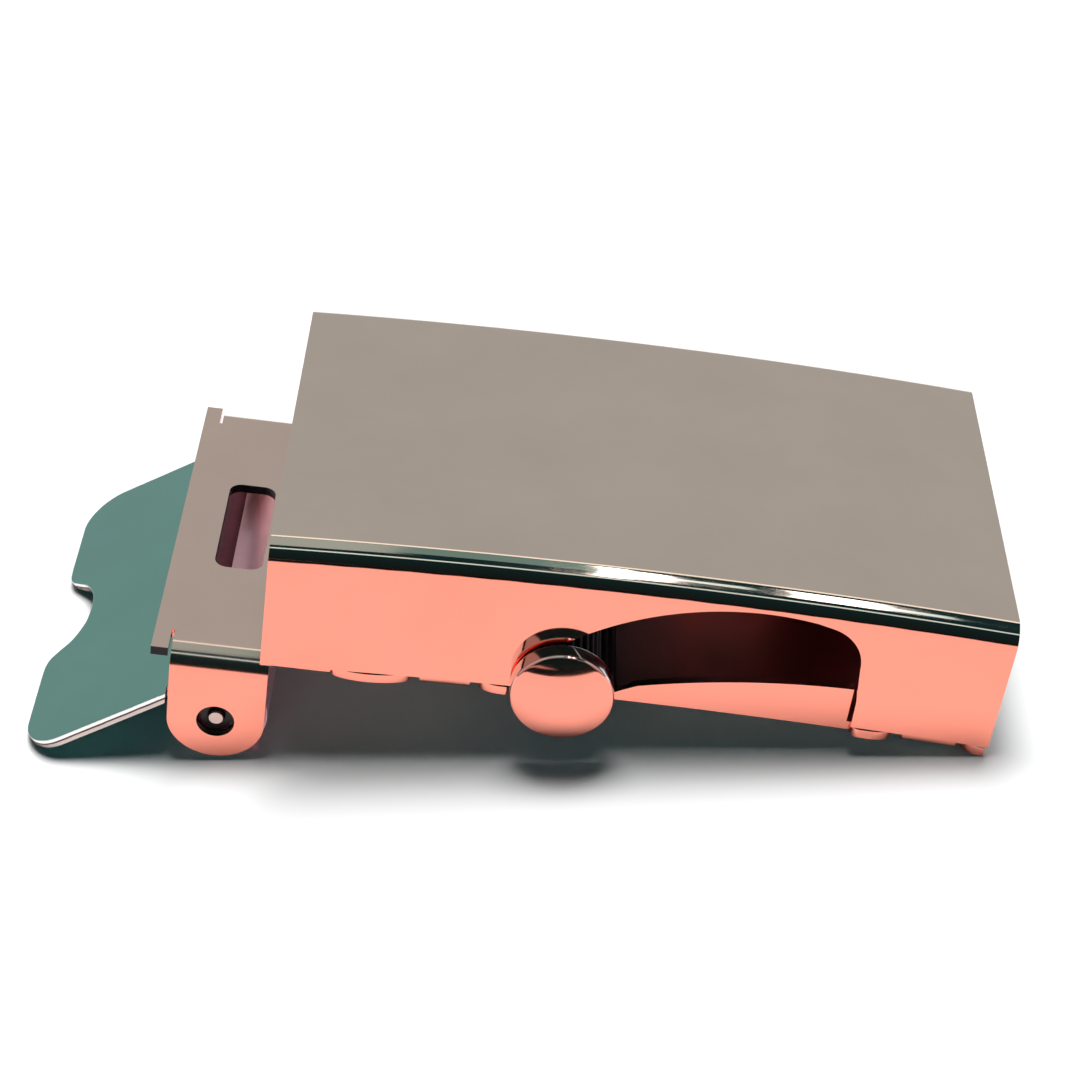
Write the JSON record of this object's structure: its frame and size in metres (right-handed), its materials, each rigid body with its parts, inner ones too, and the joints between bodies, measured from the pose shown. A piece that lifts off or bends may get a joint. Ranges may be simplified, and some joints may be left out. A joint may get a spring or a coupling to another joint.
{
  "type": "webbing belt roller buckle",
  "caption": "Closed-face box buckle for webbing: bowed face, roller on side knobs that pinches the free end up two ramps, and a toothed clamp lever on a slotted bracket.",
  "frame": {"origin": "inner face of the back plates, at the middle of the case's length and width", "axes": "+X along the belt towards the end where the free end of the webbing enters (the clamp bracket is at -X), +Y across the belt, +Z out of the polished face"},
  "size_m": [0.0881, 0.0476, 0.0294],
  "materials": {
    "case": "bright nickel plating with a warm rose tint on sheet metal, mirror polished",
    "plates": "bright warm nickel plating, finely drawn",
    "lever": "cool grey-green nickel plating, polished",
    "pins": "turned steel",
    "roller": "dark fluted steel",
    "knobs": "bright warm nickel plating, polished"
  },
  "bodies": {
    "buckle": {"case": "case", "bracket_plate": "plates", "ramp_plate": "plates", "hinge_pin": "pins"},
    "roller_carrier": {"roller_axle": "pins", "knob_near": "knobs", "knob_far": "knobs"},
    "roller": {"roller_sleeve": "roller"},
    "clamp": {"clamp_lever": "lever"}
  },
  "joints": [
    {"name": "roller_travel", "type": "hinge", "parent": "buckle", "child": "roller_carrier", "pos_m": [0.01221, 0, -0.02341], "axis": [0, 1, 0], "range_deg": [0, 38]},
    {"name": "roller_spin", "type": "hinge", "parent": "roller_carrier", "child": "roller", "pos_m": [-0.00615, 0, 0.0012], "axis": [0, 1, 0], "continuous": true},
    {"name": "clamp_hinge", "type": "hinge", "parent": "buckle", "child": "clamp", "pos_m": [-0.03695, 0, -0.00825], "axis": [0, -1, 0], "range_deg": [0, 145]}
  ]
}
